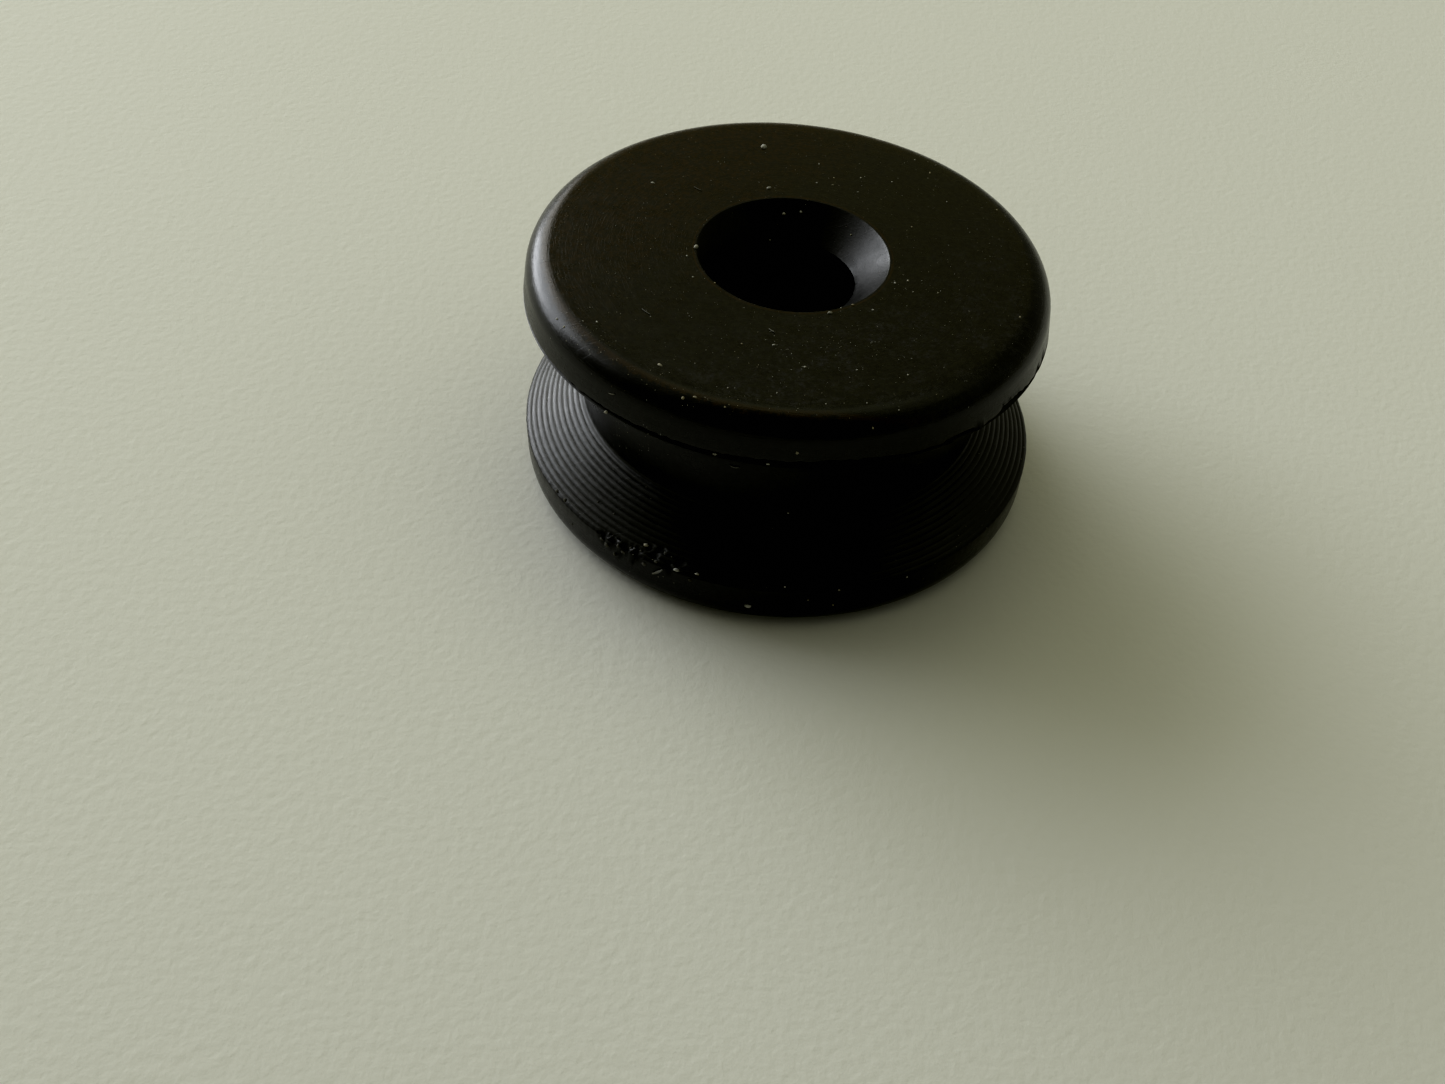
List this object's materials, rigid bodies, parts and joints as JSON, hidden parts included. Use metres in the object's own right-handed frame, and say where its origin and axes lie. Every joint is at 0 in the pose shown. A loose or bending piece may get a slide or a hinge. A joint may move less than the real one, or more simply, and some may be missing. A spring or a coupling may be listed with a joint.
{
  "type": "rubber grommet",
  "caption": "Black moulded rubber spool with round flanges, a necked groove with ringed sloping faces for a panel hole, and a through hole that opens in a cone at the top.",
  "frame": {"origin": "on the grommet's axis, at the face of the bottom flange that it stands on", "axes": "+Z along the hole's axis, from the bottom flange to the top flange with the cone's mouth"},
  "size_m": [0.0326, 0.0326, 0.0154],
  "materials": {
    "rubber": "satin moulded black rubber, dusty, with a glossier rounded edge"
  },
  "bodies": {
    "root": {"grommet": "rubber"}
  },
  "joints": []
}
